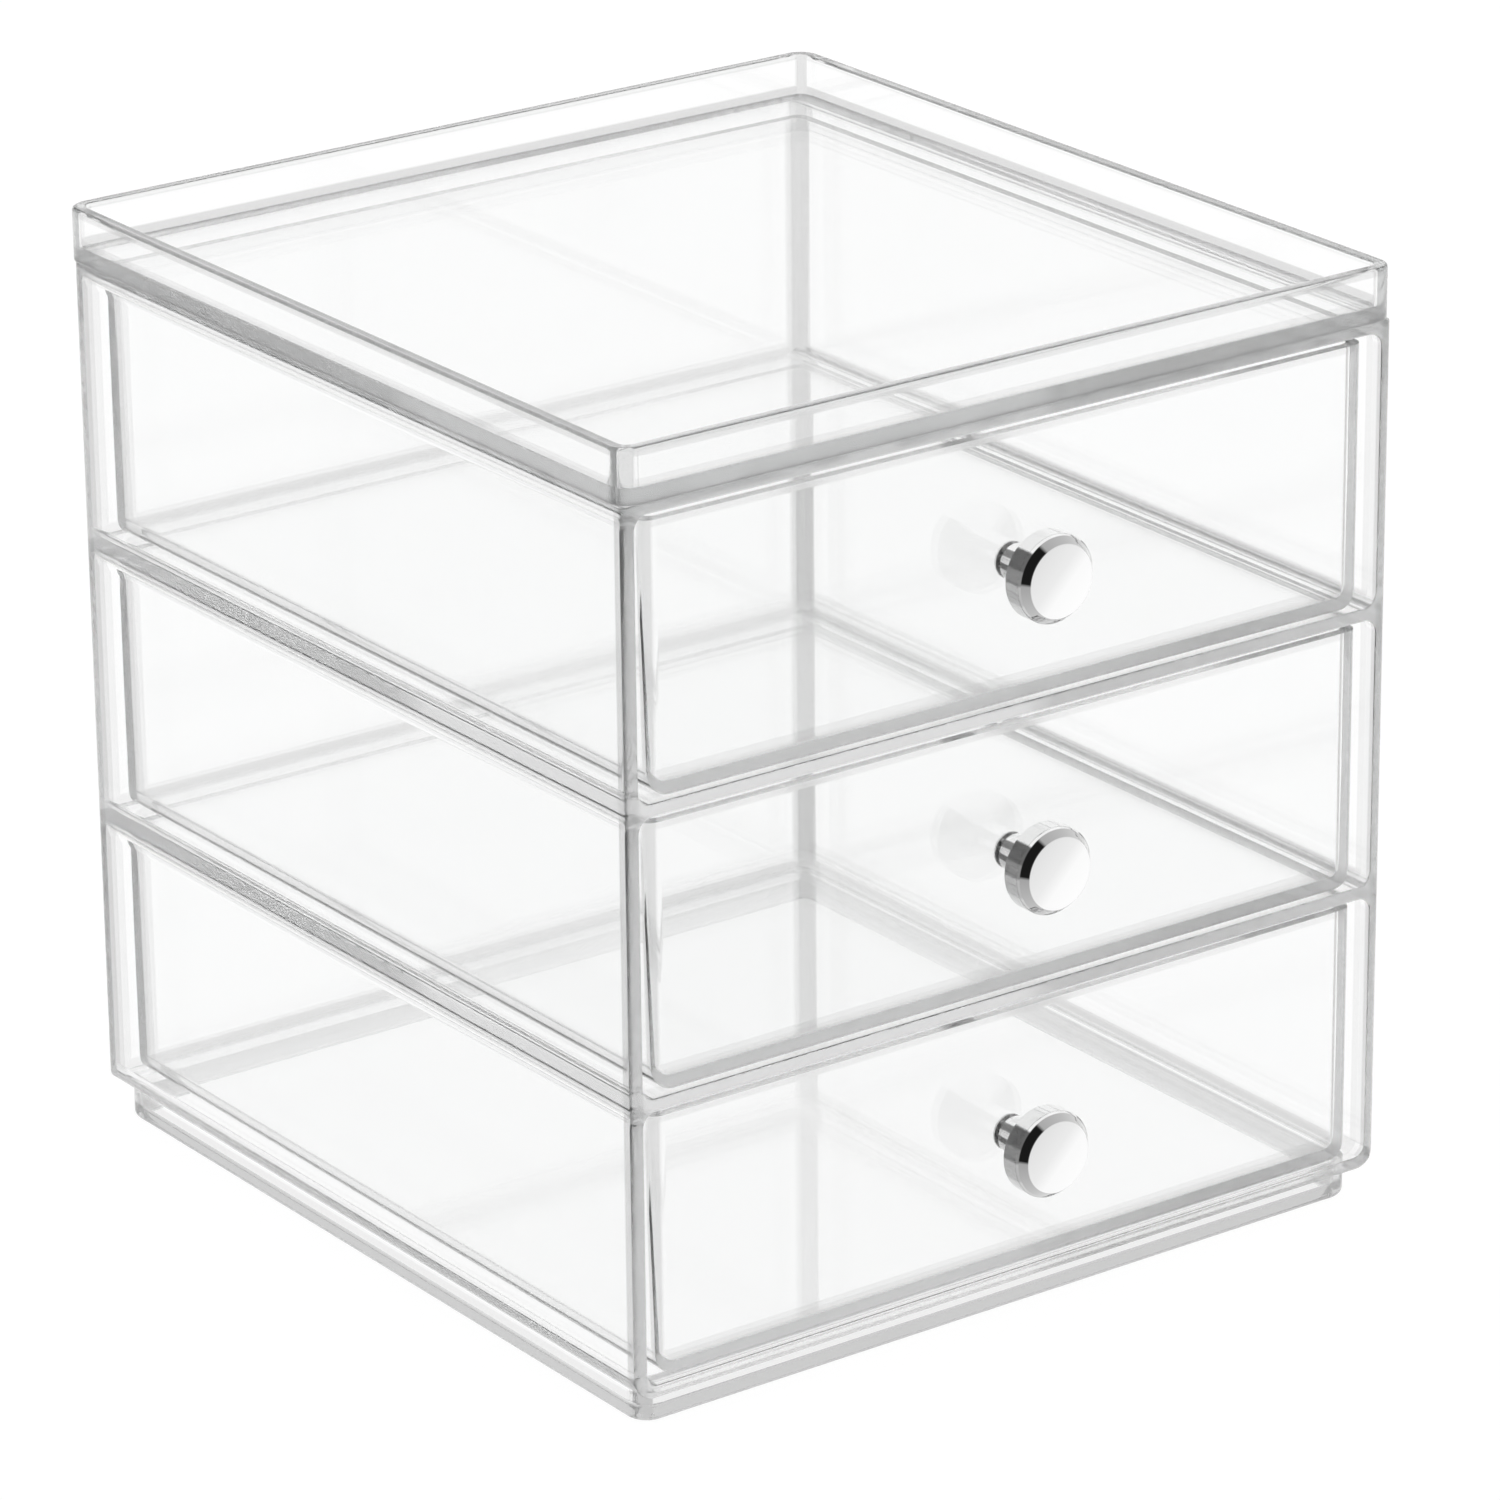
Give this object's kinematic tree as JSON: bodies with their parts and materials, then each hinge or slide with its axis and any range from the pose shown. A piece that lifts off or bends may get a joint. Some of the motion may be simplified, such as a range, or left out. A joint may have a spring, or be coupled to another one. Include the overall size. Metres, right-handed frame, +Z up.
{
  "type": "makeup organizer with drawers",
  "caption": "Clear tabletop organizer with stacked slide-out drawers, chrome knobs, a shallow tray on top and a foot that nests in the tray of a unit below.",
  "frame": {"origin": "centre of the whole footprint, knobs included, on the surface that the organizer stands on", "axes": "+Z up, -Y out of the drawer fronts, +X to the right in a front view"},
  "size_m": [0.165, 0.1838, 0.1772],
  "materials": {
    "clear_acrylic": "clear polished",
    "chrome": "polished",
    "screw_steel": "bright zinc plated"
  },
  "bodies": {
    "case": {"case_shell": "clear_acrylic", "top_tray": "clear_acrylic", "stacking_foot": "clear_acrylic"},
    "upper_drawer_unit": {"upper_drawer": "clear_acrylic", "upper_knob": "chrome", "upper_screw": "screw_steel"},
    "middle_drawer_unit": {"middle_drawer": "clear_acrylic", "middle_knob": "chrome", "middle_screw": "screw_steel"},
    "lower_drawer_unit": {"lower_drawer": "clear_acrylic", "lower_knob": "chrome", "lower_screw": "screw_steel"}
  },
  "joints": [
    {"name": "upper_drawer_slide", "type": "slide", "parent": "case", "child": "upper_drawer_unit", "axis": [0, -1, 0], "range_m": [0, 0.145]},
    {"name": "middle_drawer_slide", "type": "slide", "parent": "case", "child": "middle_drawer_unit", "axis": [0, -1, 0], "range_m": [0, 0.145]},
    {"name": "lower_drawer_slide", "type": "slide", "parent": "case", "child": "lower_drawer_unit", "axis": [0, -1, 0], "range_m": [0, 0.145]}
  ]
}
